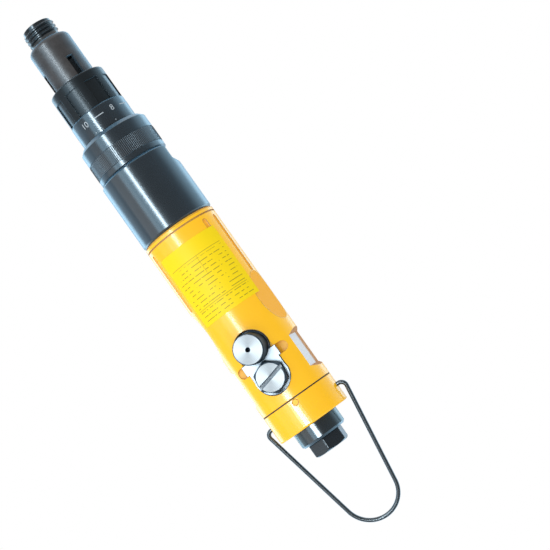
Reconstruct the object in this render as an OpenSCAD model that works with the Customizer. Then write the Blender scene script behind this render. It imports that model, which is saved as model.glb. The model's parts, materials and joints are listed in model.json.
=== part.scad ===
// In-line pneumatic screwdriver, push to start, with an adjustable ball clutch.
// The origin is on the tool's axis at the nose face. +Z runs from the nose to the air inlet,
// so the tool stands as it hangs at work, and the reverse button faces -Y.

/* [Nose and sleeve] */
// Outside diameter of the nose thread
nose_d = 18.9; // [18:0.1:20]
// Length of the bare nose thread
nose_len = 11; // [9:0.5:14]
// Outside diameter of the front sleeve
sleeve_d = 25.2; // [24.6:0.1:26]
// Wall of the front sleeve
sleeve_wall = 2.4; // [2:0.1:2.6]
// Length of sleeve that shows ahead of the torque collar
sleeve_bare_len = 28.3; // [26:0.5:34]
// Radius of the sleeve's front shoulder
shoulder_r = 3; // [1:0.1:3.1]
// Width of each sleeve slot
slot_w = 4.2; // [3:0.1:5]
// Distance from the sleeve's front to the slots
slot_inset = 15.4; // [14:0.1:20]
// Turn of the first slot from the button, towards -X
slot_turn = 41; // [0:1:120]
// Angle between the two slots that are nearest the button
slot_spread = 103; // [90:1:120]

/* [Torque collar] */
// Height of the torque collar's surface over the front sleeve's
collar_rise = 4.1; // [3.8:0.1:5]
// Length of the torque collar
collar_len = 20; // [18:0.5:24]
// Length of the plain lip ahead of the grip pockets
collar_lip = 5.4; // [4:0.1:7]
// Number of grip pockets
pocket_count = 8; // [6:1:10]
// Depth of the grip pockets
pocket_depth = 0.8; // [0.4:0.1:1]
// Angle of each rib between two pockets
rib_angle = 16; // [10:1:24]
// Turn of a rib's middle from the button, towards -X
rib_turn = 19; // [0:1:45]
// Height of the scale ring's surface over the torque collar's
scale_proud = 0.2; // [0:0.05:0.6]
// Length of the scale ring
scale_len = 13.9; // [12:0.1:18]

/* [Lock ring] */
// Step down from the clutch housing's surface to the lock ring's
lock_step = 1.1; // [0.5:0.1:2]
// Length of the lock ring
lock_len = 22.5; // [20:0.5:26]
// Wall of the lock ring round the housing's neck
lock_wall = 3.75; // [3:0.05:4.6]
// Length of the front bevel
lock_bevel = 2.2; // [1:0.1:3]
// Distance from the ring's rear face to the knurled band
knurl_inset = 3.7; // [2:0.1:6]
// Length of the knurled band
knurl_len = 9; // [6:0.1:11]
// Gap between the lock ring and the clutch housing
lock_gap = 0.7; // [0.4:0.1:1.5]

/* [Clutch housing] */
// Height of the clutch housing's surface over the handle's
housing_proud = 0.1; // [0:0.05:1]
// Wall of the clutch housing round the gears
housing_wall = 2.4; // [2:0.1:3]
// Length of the clutch housing behind the lock ring
housing_len = 41; // [37:0.5:46]
// Length of the neck inside the lock ring
neck_len = 13.7; // [10:0.1:16]
// Depth of the spanner flat
spanner_depth = 2.3; // [1.4:0.1:2.4]
// Length of the spanner flat
spanner_len = 8.4; // [6:0.1:9]
// Turn of the spanner flat from the button, towards -X
spanner_turn = 103.5; // [60:0.5:120]

/* [Handle] */
// Outside diameter of the handle
body_d = 43.6; // [43:0.1:46]
// Length of the handle
body_len = 110.9; // [108:0.1:120]
// Length of the handle's spigot inside the clutch housing
handle_spigot_len = 9; // [7:0.5:11]
// Length of the lip ring at the handle's front
lip_len = 2.7; // [2:0.1:4]
// Width of each grip groove
groove_w = 2.6; // [2:0.1:3]
// Depth of each grip groove
groove_depth = 0.8; // [0.4:0.1:1]
// Length of the grip grooves
groove_len = 37; // [25:0.5:40]
// Turn of the grip groove nearest the button
groove_turn = 53; // [48:1:56]
// Angle between two grip grooves
groove_pitch = 25; // [20:1:26]
// Grip grooves on each side
groove_count = 3; // [2:1:4]
// Depth of the thumb scallops
scallop_depth = 2; // [1:0.1:2.4]
// Radius of the thumb scallops along the handle
scallop_r = 62; // [40:1:80]
// Distance from the seam to the middle of the thumb scallops
scallop_inset = 52.8; // [50:0.1:56]
// Turn of the thumb scallops from the button
scallop_turn = 76; // [70:1:90]
// Depth of the wrench flats
wrench_depth = 3.4; // [2:0.1:3.6]
// Length of the wrench flats' floor
wrench_len = 19.8; // [16:0.1:22]
// Distance from the seam to the wrench flats' floor
wrench_inset = 8.5; // [7:0.1:10]

/* [Reverse button] */
// Diameter of the button's head
button_d = 16.8; // [15:0.1:17]
// Height of the button's top over the handle's surface
button_rise = 8.2; // [6:0.1:10]
// Travel of the button
button_travel = 4; // [2:0.1:4.2]
// Space between the button and the corners of the bolt's head
button_space = 0.76; // [0.5:0.02:3]
// Diameter of the reversing spool
spool_d = 10; // [8:0.1:11]
// Thickness of the retainer plate
plate_t = 1.8; // [1:0.1:2]
// Depth of the retainer plate's top below the handle's surface
plate_sink = 1.4; // [1:0.1:1.8]
// Width of the retainer plate beside the button
plate_rim = 1.3; // [1:0.1:1.8]
// Reach of each ear of the retainer plate past its stem
ear_reach = 1.25; // [0.8:0.05:2.4]
// Length of the ears along the handle
ear_len = 5.7; // [4:0.1:6]
// Reach of each end of the cross slot past the retainer plate's stem
cross_slot_reach = 6.3; // [5:0.1:7]
// Distance from the seam to the retainer bolt
bolt_inset = 15.4; // [15:0.1:16]
// Distance across the flats of the bolt's head
bolt_af = 16; // [14:0.5:17]
// Height of the bolt's head
bolt_head_h = 4.6; // [3:0.1:5]
// Diameter of the bolt's shank
bolt_d = 8; // [6:0.5:8]
// Width of the screwdriver slot in the bolt
bolt_slot_w = 2; // [1:0.1:2.4]

/* [Rear cap and hanger] */
// Step down from the handle's surface to the rear cap's
cap_step = 0.05; // [0:0.05:0.5]
// Thickness of the cap's rim round the handle's spigot
cap_rim = 3.3; // [3:0.1:4]
// Length of the rear cap
cap_len = 16.3; // [14:0.1:20]
// Thickness of the gasket at the seam
gasket_t = 0.5; // [0.3:0.1:1]
// Diameter of the cap's lock pin
pin_d = 3; // [2:0.1:3.4]
// Diameter of the hanger's wire
wire_d = 2.4; // [2:0.1:2.6]
// Distance from the cap's front to the hanger's pivot
pivot_inset = 7.1; // [6.9:0.1:8]
// Distance from the cap's surface to the middle of the hanger's wire
hanger_clear = 4.05; // [3.45:0.05:8]
// Length from the hanger's pivot to the middle of its end bend
hanger_len = 58; // [50:0.5:80]
// Radius of the hanger's end bend
hanger_r = 15.9; // [12:0.1:18]
// Radius of the bends beside the cap
hanger_bend_r = 3; // [2.4:0.1:3.2]
// Lean of the hanger at rest, away from the button
hanger_lean = 8; // [0:1:20]

/* [Air inlet] */
// Diameter of the exhaust collar
exhaust_d = 27.5; // [26:0.1:28]
// Length of the exhaust collar
exhaust_len = 9.4; // [8:0.1:12]
// Distance across the flats of the inlet's hexagon
inlet_af = 19; // [18:0.5:22]
// Turn of the inlet's hexagon
inlet_turn = 28; // [0:1:59]
// Length of the inlet's hexagon
inlet_len = 7.9; // [6:0.1:10]
// Bore of the inlet thread
inlet_d = 11.6; // [11:0.1:12]
// Depth of the inlet thread
inlet_depth = 14; // [12:0.5:16]
// Diameter of the bushing's shank
shank_d = 18; // [17:0.1:19]
// Exhaust holes at the back of the cap
exhaust_holes = 5; // [3:1:6]

/* [Bit holder and clutch] */
// Distance across the flats of the bit socket
bit_af = 6.45; // [6.4:0.05:6.6]
// Depth of the bit socket
bit_depth = 16; // [14:0.5:18]
// Diameter of the bit holder
holder_d = 12; // [11.4:0.1:12.4]
// Diameter of the spindle's shaft
shaft_d = 10.4; // [10:0.1:11]
// Distance across the flats of the spindle's driving tail
tail_af = 8; // [7:0.1:8.4]
// Travel of the spindle when the bit is pushed
push_travel = 2.5; // [1.5:0.1:2.6]
// Metal left beside the clutch balls, inside and outside together
ball_land = 1.35; // [1:0.05:2]
// Number of clutch balls
ball_count = 3; // [3:1:5]
// Wire of the clutch spring
clutch_wire = 2.2; // [1.6:0.1:2.4]
// Thickness of the spring seat
seat_t = 4; // [3:0.1:5]

/* [Gears] */
// Wall of the ring gear behind its teeth
ring_wall = 1.65; // [1.4:0.05:2]
// Backlash taken off each tooth
backlash = 0.12; // [0.08:0.01:0.2]
// Diameter of the planet pins
planet_pin_d = 5; // [4:0.1:6]

/* [Motor] */
// Thinnest wall of the motor's liner
liner_wall = 1.42; // [1.2:0.02:2]
// Length of the motor chamber
motor_len = 52; // [46:0.5:53]
// Offset of the chamber from the rotor's axis
motor_offset = 1.5; // [1:0.1:1.6]
// Number of vanes
vane_count = 5; // [4:1:6]
// Thickness of a vane
vane_t = 2; // [1.5:0.1:2.4]
// Wall of the handle round the motor
handle_wall = 4.8; // [4.2:0.1:5]
// Diameter of the push rod
rod_d = 2.5; // [2:0.1:2.6]

/* [Fits] */
// Radial clearance of turning and sliding fits
run_fit = 0.05; // [0.03:0.01:0.08]
// Gap between faces that move past each other
gap = 0.3; // [0.25:0.05:0.4]
// Radial clearance of seated pieces
seat_fit = 0.03; // [0.02:0.01:0.05]

/* [Hidden] */
$fn = 96;

// Extra length of a cutter past the face that it opens
over = 1;
// Chamfer on turned edges
edge = 0.6;

// Diameters that follow the handle's and the front sleeve's
housing_d = body_d + 2 * housing_proud;
housing_bore = housing_d - 2 * housing_wall;
lock_d = housing_d - 2 * lock_step;
neck_d = lock_d - 2 * (lock_wall + run_fit);
cap_d = body_d - 2 * cap_step;
collar_d = sleeve_d + 2 * collar_rise;
scale_d = collar_d + 2 * scale_proud;
motor_bore = body_d - 2 * handle_wall;

// Stations along the axis, from the nose to the inlet
z_sleeve = nose_len;
z_collar = z_sleeve + sleeve_bare_len;
z_scale = z_collar + collar_len;
z_lock = z_scale + scale_len;
z_lock_end = z_lock + lock_len;
z_housing = z_lock_end + lock_gap;
z_body = z_housing + housing_len;
z_seam = z_body + body_len;
z_cap = z_seam + gasket_t;
z_tail = z_cap + cap_len;
z_hex = z_tail + exhaust_len;
z_end = z_hex + inlet_len;

// Front sleeve and nose
sleeve_r = sleeve_d / 2;
sleeve_bore = sleeve_r - sleeve_wall;
sleeve_front_t = 3;
sleeve_seat = 0.6;
z_sleeve_end = z_housing + sleeve_seat;
nose_spigot_len = 9.7;
// Thread relief behind the nose thread, and the neck that goes through the sleeve's front
relief_w = 0.6;
nose_neck_r = nose_d / 2 - 0.85;
z_bush_end = z_sleeve + sleeve_front_t + nose_spigot_len;
bush_wall = 1.4;
bush_bore = holder_d / 2 + run_fit;

// Clutch stack inside the sleeve, set out from the carrier bearing forwards
driver_t = 6;
disc_t = 6;
ball_gap = 3;
washer_t = 3.7;
driver_gap = 2;
z_driver = z_sleeve_end - driver_gap - driver_t;
z_disc = z_driver - ball_gap - disc_t;
z_washer = z_disc - gap - washer_t;
cavity_front = 2.2;
seat_travel = 4.1;
z_seat = z_collar + cavity_front + seat_travel + gap + 0.1;
clutch_r = sleeve_bore - run_fit;
seat_lug_w = slot_w - 0.2;
lug_reach = sleeve_r + 1.5;
collar_cavity_r = lug_reach + gap;
slot_turns = [slot_turn, slot_turn - slot_spread, slot_turn - slot_spread / 2 + 180];
slot_angles = [for (turn = slot_turns) -90 - turn];
z_slot_end = z_scale - 1.3;
z_flange = z_bush_end + gap;
flange_t = 3.5;
flange_r = sleeve_bore - 1.7;
skirt_in = flange_r + gap;
z_skirt = z_bush_end + seat_travel + gap;
tail_len = disc_t - 2 + push_travel + 0.5;
z_tail_end = z_disc + disc_t - 2;
z_shaft = z_flange + flange_t;

// Rolling bearing, 8 x 22 x 7 mm
brg_bore = 8;
brg_od = 22;
brg_w = 7;
brg_ball_d = 4;
brg_balls = 7;
ball_ring_r = (clutch_r + brg_bore / 2) / 2;
ball_d = clutch_r - brg_bore / 2 - ball_land;

// Gear train: a 15 tooth sun, three 15 tooth planets and a fixed 45 tooth ring
sun_n = 15;
ring_n = 3 * sun_n;
pressure = 20;
flank_steps = 4;
ring_root_r = housing_bore / 2 - seat_fit - ring_wall;
gear_m = floor(1000 * ring_root_r / (ring_n / 2 + 1.25)) / 1000;
gear_pitch_r = gear_m * sun_n / 2;
ring_pitch_r = gear_m * ring_n / 2;
gear_centre = 2 * gear_pitch_r;
planet_angles = [0, 120, 240];
bore_shoulder = 1.5;
z_brg_end = z_sleeve_end + brg_w;
z_carrier = z_brg_end + bore_shoulder + gap;
carrier_t = 3.9;
carrier_r = gear_centre + planet_pin_d / 2 + 1.8;
z_planet = z_carrier + carrier_t + gap;
z_ring = z_planet - 0.6;
plate_flange_t = brg_w + 0.8;
plate_boss_t = 2.6;
z_spigot = z_body - handle_spigot_len;
z_plate = z_spigot - plate_flange_t;
ring_w = z_plate - z_ring;
gear_w = ring_w - 1.2;
z_motor = z_spigot + plate_boss_t;
z_motor_end = z_motor + motor_len;
rear_floor = 1.5;
z_rear_brg = z_motor_end + rear_floor;
z_bore_end = z_rear_brg + brg_w;
rotor_gap = 0.2;
shaft_seat_r = 3;
rod_bore = rod_d / 2 + 0.35;
liner_r = motor_bore / 2 - seat_fit;
liner_bore = liner_r - liner_wall - motor_offset;
rotor_d = 2 * (liner_bore - motor_offset - 0.15);
vane_depth = 0.3 * rotor_d;

// Handle, valve chambers and the seat of the retainer plate
body_r = body_d / 2;
button_r = button_d / 2;
z_bolt = z_seam - bolt_inset;
z_button = z_bolt - bolt_af / cos(30) / 2 - button_space - button_r;
button_top = body_r + button_rise;
plate_top = body_r - plate_sink;
plate_w = button_d + 2 * plate_rim;
ear_w = plate_w + 2 * ear_reach;
cross_slot_w = plate_w + 2 * cross_slot_reach;
button_hole_r = 1.3;
button_hole_len = 3.4;
button_flange_r = button_r + 1;
button_bore_r = button_flange_r + 0.4;
button_flange_t = 1.5;
plate_bottom = plate_top - plate_t;
button_flange_top = plate_bottom - 0.4;
button_flange_low = button_flange_top - button_flange_t;
button_floor = button_flange_low - button_travel - 0.5;
spool_end = 9;
spool_bore_end = spool_end - button_travel - 1.8;
z_ear_end = z_bolt - 0.45 * bolt_af;
slot_floor = plate_bottom - 4.2;
bolt_end = 9.4;
plate_end_r = plate_w / 2 + 0.2;
valve_wall = 6.5;
z_valve_seat = z_button + spool_d / 2 + valve_wall;
chamber_r = 6.5;
spigot_len = 6;
z_spigot_end = z_seam + spigot_len;
spigot_r = body_r - cap_rim;
exhaust_hole_r = 1.4;
exhaust_ring_r = motor_bore / 2 - exhaust_hole_r / 2;
rod_way_r = 2;
valve_t = 3;
pin_turn = 7;
pin_ring = 0.4;
z_pin = z_cap + 2.2;

// Hanger
wire_r = wire_d / 2;
z_pivot = z_cap + pivot_inset;
hanger_pin_in = cap_d / 2 - 3.6;
hanger_half_w = cap_d / 2 + hanger_clear;
bend_x = hanger_half_w - hanger_bend_r;
bend_diff = hanger_r - hanger_bend_r;
run_len = hanger_len - hanger_bend_r;
hanger_taper = acos(bend_diff / norm([bend_x, run_len])) - atan2(run_len, bend_x);
leg_len = (bend_x - bend_diff * cos(hanger_taper)) / sin(hanger_taper);

// A tube along Z
module tube(r_out, r_in, z0, z1) {
    translate([0, 0, z0]) difference() {
        cylinder(r = r_out, h = z1 - z0);
        translate([0, 0, -over]) cylinder(r = r_in, h = z1 - z0 + 2 * over);
    }
}

// A rod along Z with a chamfer at each end that has one
module rod(r, z0, z1, c0 = 0, c1 = 0) {
    rotate_extrude() polygon(concat(
        [[0, z0], [r - c0, z0]], c0 > 0 ? [[r, z0 + c0]] : [],
        c1 > 0 ? [[r, z1 - c1]] : [], [[r - c1, z1], [0, z1]]));
}

// A bore along Z that opens both ends
module bore(r, z0, z1) {
    translate([0, 0, z0]) cylinder(r = r, h = z1 - z0);
}

// Puts children in the button's own frame: x across, y along the tool, z outwards from the axis
module facing_button() {
    rotate([90, 0, 0]) children();
}

// Turns children from the button's direction towards -X
module turned(angle) {
    rotate([0, 0, -90 - angle]) children();
}

// A hexagonal prism along Z, given across its flats
module hexagon(af, z0, z1) {
    translate([0, 0, z0]) cylinder(d = af / cos(30), h = z1 - z0, $fn = 6);
}

// A hexagonal head whose far corners are turned to a cone
module hex_head(af, z0, z1) {
    corner = af / cos(30) / 2;
    drop = (corner - af / 2 + 0.3) * tan(30);
    intersection() {
        hexagon(af, z0, z1);
        rotate_extrude() polygon([[0, z0 - over], [corner + 0.02, z0 - over],
            [corner + 0.02, z1 - drop], [af / 2 - 0.3, z1], [0, z1]]);
    }
}

// Involute half angle of a tooth at a radius, in degrees
function involute(a) = tan(a) * 180 / PI - a;
function tooth_half(r, base, n, slack) =
    90 / n - slack + involute(pressure) - involute(acos(min(1, base / r)));
function polar(r, a) = [r * cos(a), r * sin(a)];

// Outline of an external gear, or of the spaces of an internal one
function gear_outline(n, low, high, slack) =
    let (base = gear_m * n / 2 * cos(pressure), foot = max(low, base))
    [for (k = [0:n - 1]) let (mid = 360 * k / n) each concat(
        low < base ? [polar(low, mid - tooth_half(foot, base, n, slack))] : [],
        [for (i = [0:flank_steps]) let (r = foot + (high - foot) * i / flank_steps)
            polar(r, mid - tooth_half(r, base, n, slack))],
        [for (i = [flank_steps:-1:0]) let (r = foot + (high - foot) * i / flank_steps)
            polar(r, mid + tooth_half(r, base, n, slack))],
        low < base ? [polar(low, mid + tooth_half(foot, base, n, slack))] : [])];
function slack_angle(n, play) = play / 2 / (gear_m * n / 2) * 180 / PI;

// A 15 tooth spur gear with a plain bore
module spur_gear(z0, bore_r) {
    difference() {
        translate([0, 0, z0]) linear_extrude(gear_w) polygon(gear_outline(sun_n,
            gear_pitch_r - 1.25 * gear_m, gear_pitch_r + gear_m, slack_angle(sun_n, backlash)));
        bore(bore_r, z0 - over, z0 + gear_w + over);
    }
}

// A rolling bearing: two grooved rings and a row of balls
module bearing(z0) {
    mid_r = (brg_bore + brg_od) / 4;
    land = 2.3;
    race_r = brg_ball_d / 2 + 0.02;
    difference() {
        union() {
            tube(brg_od / 2, brg_od / 2 - land, z0, z0 + brg_w);
            tube(brg_bore / 2 + land, brg_bore / 2, z0, z0 + brg_w);
        }
        translate([0, 0, z0 + brg_w / 2]) rotate_extrude() translate([mid_r, 0]) circle(race_r);
    }
    for (i = [0:brg_balls - 1]) rotate(360 * i / brg_balls)
        translate([mid_r, 0, z0 + brg_w / 2]) sphere(d = brg_ball_d, $fn = 32);
}

// A coil spring along Z, swept round its helix
module coil(mid_r, wire, z0, z1, turns) {
    sides = 6;
    steps = 14 * turns;
    a = wire / 2;
    points = [for (i = [0:steps], j = [0:sides - 1])
        let (t = 360 * turns * i / steps, b = 360 * j / sides, r = mid_r + a * cos(b))
        [r * cos(t), r * sin(t), z0 + a + (z1 - z0 - wire) * i / steps + a * sin(b)]];
    skin = [for (i = [0:steps - 1], j = [0:sides - 1])
        let (k = (j + 1) % sides, p = i * sides, q = p + sides)
        each [[p + j, p + k, q + k], [p + j, q + k, q + j]]];
    ends = [[for (j = [sides - 1:-1:0]) j], [for (j = [0:sides - 1]) steps * sides + j]];
    polyhedron(points, concat(skin, ends), convexity = 6);
}

// The nose
module nose_bush() color("#20242a") difference() {
    union() {
        rod(nose_d / 2, 0, z_sleeve - relief_w, c0 = 0.8);
        rod(nose_neck_r, z_sleeve - relief_w, z_sleeve + sleeve_front_t);
        rod(sleeve_bore - seat_fit, z_sleeve + sleeve_front_t, z_bush_end);
    }
    bore(bush_bore + bush_wall + seat_fit, over, z_bush_end + over);
    bore(bush_bore + gap, -over, over + 0.1);
}

module spindle_bush() color("#a97c3c")
    tube(bush_bore + bush_wall, bush_bore, over, z_bush_end);

module front_sleeve() color("#4a3f36") difference() {
    union() {
        bore(sleeve_r - shoulder_r, z_sleeve, z_sleeve + shoulder_r);
        translate([0, 0, z_sleeve + shoulder_r]) rotate_extrude()
            translate([sleeve_r - shoulder_r, 0]) circle(shoulder_r);
        bore(sleeve_r, z_sleeve + shoulder_r, z_sleeve_end);
    }
    bore(nose_neck_r + seat_fit, z_sleeve - over, z_sleeve_end);
    bore(sleeve_bore, z_sleeve + sleeve_front_t, z_sleeve_end + over);
    for (a = slot_angles) rotate(a) {
        slot_front = z_sleeve + slot_inset;
        translate([0, -slot_w / 2, slot_front]) cube([sleeve_d, slot_w, z_slot_end - slot_front]);
    }
}

// The bit holder and the spindle
clip_z = 9;
clip_w = 1.6;
clip_floor = holder_d / 2 - 0.9;
bit_ball_r = 1.1;
bit_ball_at = bit_af / 2 - 0.3 + bit_ball_r;
holder_z = 0.8;

module bit_holder() color("#8d9094") difference() {
    union() {
        rod(holder_d / 2, holder_z, z_flange, c0 = edge);
        rod(flange_r, z_flange, z_shaft, c0 = edge, c1 = edge);
    }
    hexagon(bit_af, holder_z - over, holder_z + bit_depth);
    tube(holder_d / 2 + over, clip_floor, clip_z, clip_z + clip_w);
    translate([0, 0, clip_z + clip_w / 2]) rotate([0, 90, 0])
        cylinder(r = bit_ball_r + run_fit, h = holder_d);
    bore(shaft_stub_r + seat_fit, z_flange - shaft_stub_len, z_shaft + over);
}

shaft_stub_r = 3.6;
shaft_stub_len = 4;

module bit_ball() color("#c9ccd0")
    translate([bit_ball_at, 0, clip_z + clip_w / 2]) sphere(r = bit_ball_r, $fn = 32);

module bit_clip() color("#5b5f64") difference() {
    clip_in = max(clip_floor, bit_ball_at + bit_ball_r) + seat_fit;
    tube(holder_d / 2 - 0.1, clip_in, clip_z + 0.1, clip_z + clip_w - 0.1);
    translate([-holder_d, -1, clip_z]) cube([holder_d, 2, clip_w]);
}

module spindle_shaft() color("#7b7f84") {
    rod(shaft_stub_r, z_flange - shaft_stub_len, z_shaft);
    rod(shaft_d / 2, z_shaft, z_tail_end - tail_len, c1 = edge);
    hexagon(tail_af, z_tail_end - tail_len, z_tail_end);
}

// The torque adjustment
module spring_seat() color("#6d665c") {
    r = sleeve_bore - run_fit;
    ring_in = shaft_d / 2 + gap;
    rotate_extrude() polygon([[skirt_in, z_skirt], [r, z_skirt], [r, z_seat + seat_t],
        [ring_in, z_seat + seat_t], [ring_in, z_seat], [skirt_in, z_seat]]);
    for (a = slot_angles) rotate(a) translate([sleeve_bore - over, -seat_lug_w / 2, z_seat])
        cube([lug_reach - sleeve_bore + over, seat_lug_w, seat_t]);
}

module clutch_spring() color("#9a9da1")
    coil(sleeve_bore - clutch_wire / 2 - 0.5, clutch_wire, z_seat + seat_t, z_washer, 6);

module torque_collar() color("#2b3036") {
    r = collar_d / 2;
    lip_r = 1;
    pocket_angle = 360 / pocket_count - rib_angle;
    skirt_end = z_lock - gap - 0.3;
    difference() {
        union() {
            bore(r - lip_r, z_collar, z_collar + lip_r);
            translate([0, 0, z_collar + lip_r]) rotate_extrude()
                translate([r - lip_r, 0]) circle(lip_r);
            bore(r, z_collar + lip_r, z_scale);
            bore(skirt_r, z_scale, skirt_end);
        }
        bore(sleeve_r + run_fit, z_collar - over, skirt_end + over);
        bore(collar_cavity_r, z_collar + cavity_front, z_scale - 2.3);
        for (i = [0:pocket_count - 1]) turned(rib_turn + rib_angle / 2 + i * 360 / pocket_count)
            rotate_extrude(angle = -pocket_angle)
                translate([r - pocket_depth, z_collar + collar_lip])
                    square([pocket_depth + over, collar_len]);
    }
}

skirt_r = sleeve_r + 1.8;

module scale_ring() color("#1d2126") difference() {
    rod(scale_d / 2, z_scale, z_lock - gap, c0 = edge, c1 = edge / 2);
    bore(skirt_r + seat_fit, z_scale - over, z_lock);
}

module lock_ring() color("#23272c") difference() {
    r = lock_d / 2;
    z_knurl = z_lock_end - knurl_inset - knurl_len;
    line = 0.3;
    union() {
        rod(r, z_lock, z_lock_end, c0 = lock_bevel, c1 = edge);
    }
    for (z = [z_knurl - line, z_knurl + knurl_len])
        tube(r + over, r - line, z, z + line);
    bore(sleeve_r + gap + 0.2, z_lock - over, z_lock_end);
    bore(neck_d / 2 + run_fit, z_neck - over, z_lock_end + over);
}

z_neck = z_lock_end - neck_len;

module clutch_housing() color("#1f2328") difference() {
    r = housing_d / 2;
    spanner_flat = r - spanner_depth;
    union() {
        bore(neck_d / 2, z_neck, z_housing);
        rod(r, z_housing, z_body, c0 = edge, c1 = 1.2);
    }
    bore(sleeve_r + seat_fit, z_neck - over, z_sleeve_end);
    bore(brg_od / 2 + seat_fit, z_sleeve_end - over, z_brg_end);
    bore(brg_od / 2 - 1.5, z_brg_end - over, z_brg_end + bore_shoulder + over);
    bore(carrier_r + gap + 0.2, z_brg_end + bore_shoulder, z_ring + over);
    bore(housing_bore / 2, z_ring, z_body + over);
    turned(spanner_turn) rotate([90, 0, 0]) translate([0, 0, -r]) linear_extrude(2 * r)
        polygon([[spanner_flat, z_housing - over], [r + over, z_housing - over],
            [r + over, z_housing + spanner_len + (r + over - spanner_flat) * 1.4],
            [spanner_flat, z_housing + spanner_len]]);
}

// The clutch
module thrust_washer() color("#8a8d91")
    tube(sleeve_bore - run_fit, shaft_d / 2 + 0.4, z_washer, z_washer + washer_t);

module ball_row(r) {
    for (i = [0:ball_count - 1]) rotate(60 + 360 * i / ball_count)
        translate([ball_ring_r, 0, z_driver - ball_gap / 2]) sphere(r = r, $fn = 32);
}

module clutch_balls() color("#c9ccd0") ball_row(ball_d / 2);

module driven_disc() color("#75797e") difference() {
    rod(clutch_r, z_disc, z_disc + disc_t, c0 = edge, c1 = edge);
    hexagon(tail_af + 0.2, z_disc - over, z_disc + disc_t + over);
    ball_row(ball_d / 2 + seat_fit);
}

module clutch_driver() color("#75797e") difference() {
    rod(clutch_r, z_driver, z_driver + driver_t, c0 = edge, c1 = edge);
    bore(brg_bore / 2 + seat_fit, z_driver - over, z_driver + driver_t + over);
    ball_row(ball_d / 2 + seat_fit);
}

// The gear train
module carrier_bearing() color("#b4b7bb") bearing(z_sleeve_end);

module planet_carrier() color("#83878c") difference() {
    union() {
        rod(brg_bore / 2 - seat_fit, z_driver, z_carrier, c0 = edge);
        rod(brg_bore / 2 + 1.5, z_brg_end + 0.2, z_carrier);
        rod(carrier_r, z_carrier, z_carrier + carrier_t, c0 = edge, c1 = edge);
    }
    bore(rod_bore, z_driver - over, z_carrier + carrier_t + over);
    for (a = planet_angles) rotate(a) translate([gear_centre, 0, 0])
        bore(planet_pin_d / 2 + seat_fit, z_carrier - over, z_carrier + carrier_t + over);
}

module planet_pins() color("#a5a8ac") {
    for (a = planet_angles) rotate(a) translate([gear_centre, 0, 0])
        rod(planet_pin_d / 2, z_carrier, z_plate - gap, c0 = 0.3, c1 = 0.3);
}

module planet_gear(index) color("#8f7a4e")
    rotate(planet_angles[index]) translate([gear_centre, 0, 0])
        spur_gear(z_planet, planet_pin_d / 2 + run_fit);

module planet_gear_1() planet_gear(0);
module planet_gear_2() planet_gear(1);
module planet_gear_3() planet_gear(2);

module ring_gear() color("#6a6e73") difference() {
    rod(housing_bore / 2 - seat_fit, z_ring, z_plate);
    translate([0, 0, z_ring - over]) linear_extrude(ring_w + 2 * over)
        polygon(gear_outline(ring_n, ring_pitch_r - 0.7 * gear_m, ring_pitch_r + 1.25 * gear_m,
            -slack_angle(ring_n, backlash)));
}

module sun_pinion() color("#8f7a4e") spur_gear(z_planet, shaft_seat_r + seat_fit);

// The motor
module front_end_plate() color("#9b9fa4") difference() {
    union() {
        rod(housing_bore / 2 - seat_fit, z_plate, z_spigot);
        rod(liner_r, z_spigot, z_motor);
    }
    bore(brg_od / 2 + seat_fit, z_plate - over, z_plate + brg_w);
    bore(brg_bore / 2 + 0.6, z_plate, z_motor + over);
}

module front_bearing() color("#b4b7bb") bearing(z_plate);

module motor_liner() color("#7d8186") difference() {
    rod(liner_r, z_motor, z_motor_end);
    translate([0, motor_offset, 0]) bore(liner_bore, z_motor - over, z_motor_end + over);
}

module vane_slots(t, low, high, z0, z1) {
    for (i = [0:vane_count - 1]) rotate(90 + 360 * i / vane_count)
        translate([low, -t / 2, z0]) cube([high - low, t, z1 - z0]);
}

module rotor() color("#888c91") difference() {
    r = rotor_d / 2;
    z0 = z_motor + rotor_gap;
    z1 = z_motor_end - rotor_gap;
    union() {
        rod(r, z0, z1);
        rod(brg_bore / 2 - seat_fit, z_planet + gear_w + gap, z0);
        rod(shaft_seat_r, z_planet, z_planet + gear_w + gap, c0 = 0.3);
        rod(brg_bore / 2 - seat_fit, z1, z_bore_end - gap, c1 = 0.3);
    }
    vane_slots(vane_t, r - vane_depth, r + over, z0 - over, z1 + over);
    bore(rod_bore, z_planet - over, z_bore_end + over);
}

module rotor_vanes() color("#6b4a2f")
    vane_slots(vane_t - 0.1, rotor_d / 2 - vane_depth + 0.05, rotor_d / 2 - 0.2,
        z_motor + rotor_gap, z_motor_end - rotor_gap);

module rear_end_plate() color("#9b9fa4") difference() {
    rod(liner_r, z_motor_end, z_bore_end);
    bore(brg_od / 2 + seat_fit, z_rear_brg, z_bore_end + over);
    bore(brg_bore / 2 + 0.6, z_motor_end - over, z_bore_end);
}

module rear_bearing() color("#b4b7bb") bearing(z_rear_brg);

// The throttle
z_valve = z_valve_seat + 0.1;
valve_spigot_r = 3.2;
valve_spigot_len = 2.6;
throttle_wire = 1;

module push_rod() color("#b9bcc0") rod(rod_d / 2, z_tail_end + 0.1, z_valve, c0 = 0.3);

module throttle_valve() color("#2f3338") {
    rod(chamber_r - 0.8, z_valve, z_valve + valve_t, c0 = 0.3, c1 = 0.3);
    rod(valve_spigot_r, z_valve + valve_t, z_valve + valve_t + valve_spigot_len, c1 = 0.4);
}

module throttle_spring() color("#9a9da1")
    coil(valve_spigot_r + throttle_wire, throttle_wire, z_valve + valve_t, z_bushing, 8);

// The handle
module grip_groove() {
    cut_r = (pow(groove_w / 2, 2) + pow(groove_depth, 2)) / (2 * groove_depth);
    z0 = z_body + lip_len + 2.9;
    translate([body_r - groove_depth + cut_r, 0, 0]) {
        bore(cut_r, z0 + cut_r, z0 + groove_len - cut_r);
        for (z = [z0 + cut_r, z0 + groove_len - cut_r]) translate([0, 0, z]) sphere(cut_r);
    }
}

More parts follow.
